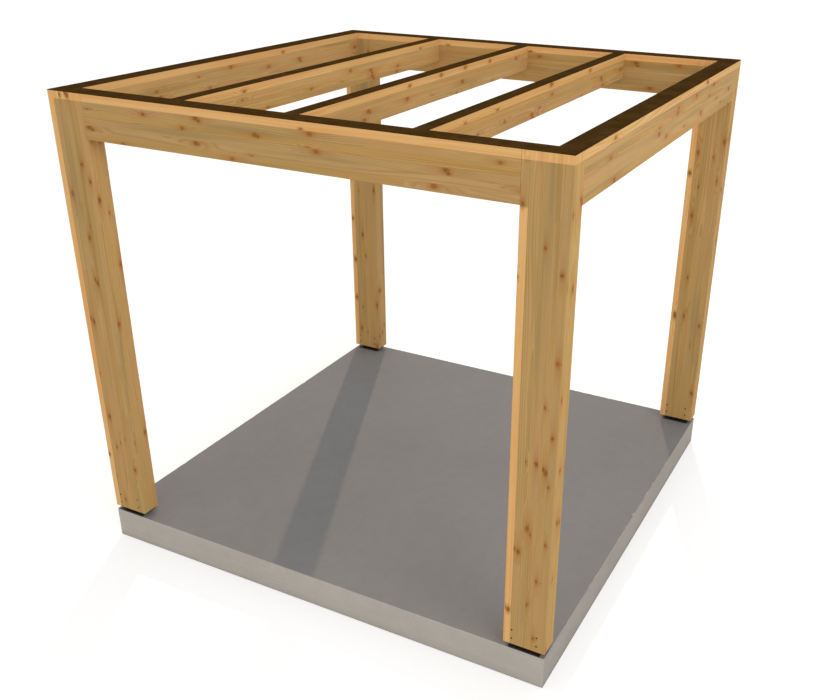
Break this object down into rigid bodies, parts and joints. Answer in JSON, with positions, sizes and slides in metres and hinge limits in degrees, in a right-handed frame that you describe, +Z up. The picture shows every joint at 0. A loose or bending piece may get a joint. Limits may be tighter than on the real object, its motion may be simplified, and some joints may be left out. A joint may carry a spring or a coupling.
{
  "type": "timber pergola on a base slab",
  "caption": "Open flat-topped pergola of glued timber: posts on steel feet, beams between the posts, rafters with dark cover strips on top, on a square concrete base slab.",
  "frame": {"origin": "centre of the base slab's underside, at ground level", "axes": "+Z up, +X to the right along the front, +Y to the back, so the front faces -Y"},
  "size_m": [3, 3, 2.863],
  "materials": {
    "concrete": "matte",
    "timber": "matte",
    "foot_steel": "satin",
    "dowel_steel": "satin",
    "cover_strip": "matte"
  },
  "bodies": {
    "root": {"base_slab": "concrete", "front_left_post": "timber", "front_right_post": "timber", "back_left_post": "timber", "back_right_post": "timber", "front_left_foot": "foot_steel", "front_right_foot": "foot_steel", "back_left_foot": "foot_steel", "back_right_foot": "foot_steel", "front_left_dowels": "dowel_steel", "front_right_dowels": "dowel_steel", "back_left_dowels": "dowel_steel", "back_right_dowels": "dowel_steel", "front_beam": "timber", "back_beam": "timber", "left_beam": "timber", "right_beam": "timber", "left_rafter": "timber", "middle_rafter": "timber", "right_rafter": "timber", "front_strip": "cover_strip", "back_strip": "cover_strip", "left_strip": "cover_strip", "right_strip": "cover_strip", "left_rafter_strip": "cover_strip", "middle_rafter_strip": "cover_strip", "right_rafter_strip": "cover_strip"}
  },
  "joints": []
}
